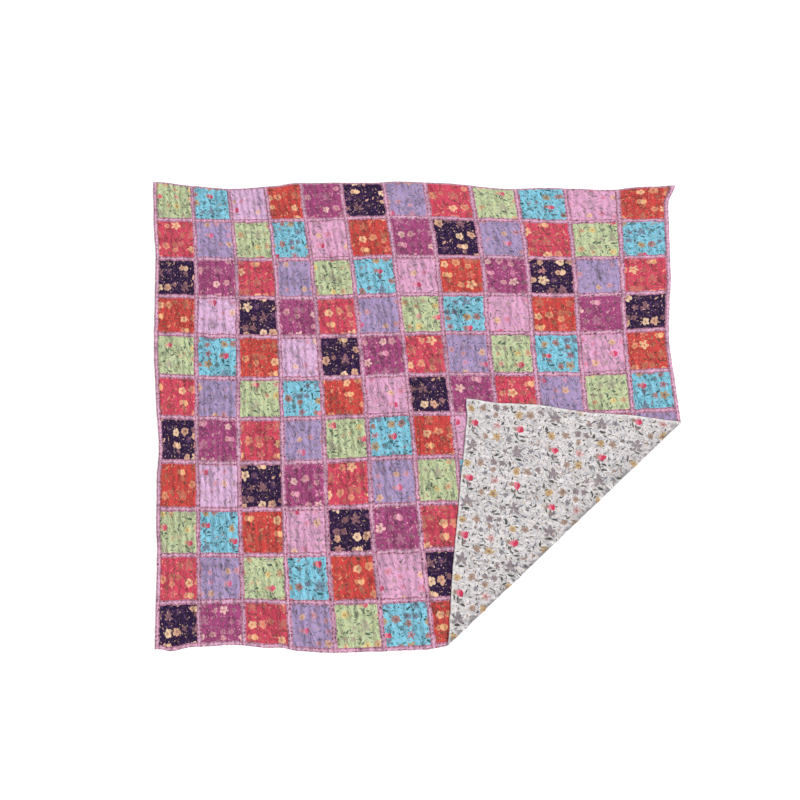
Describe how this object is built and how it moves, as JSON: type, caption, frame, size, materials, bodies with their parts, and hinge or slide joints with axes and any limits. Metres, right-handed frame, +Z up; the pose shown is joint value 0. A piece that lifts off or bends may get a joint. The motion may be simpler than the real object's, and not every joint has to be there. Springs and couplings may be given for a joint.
{
  "type": "patchwork quilt",
  "caption": "Patchwork throw quilt of printed cotton squares with narrow strips between, lying flat with one corner folded over to show its floral backing.",
  "frame": {"origin": "centre of the laid quilt's bounding box, on the surface it lies on", "axes": "+Z up out of the pieced face, +X across the width towards the side whose lower corner is folded, +Y towards the top edge"},
  "size_m": [1.5912, 1.4278, 0.0137],
  "materials": {
    "patchwork": "matt printed cotton in many colours, puckered by rows of running stitch",
    "backing": "matt off-white cotton with a small floral print",
    "thread": "matt cotton quilting thread"
  },
  "bodies": {
    "root": {"patchwork_top": "patchwork", "backing": "backing"}
  },
  "joints": []
}
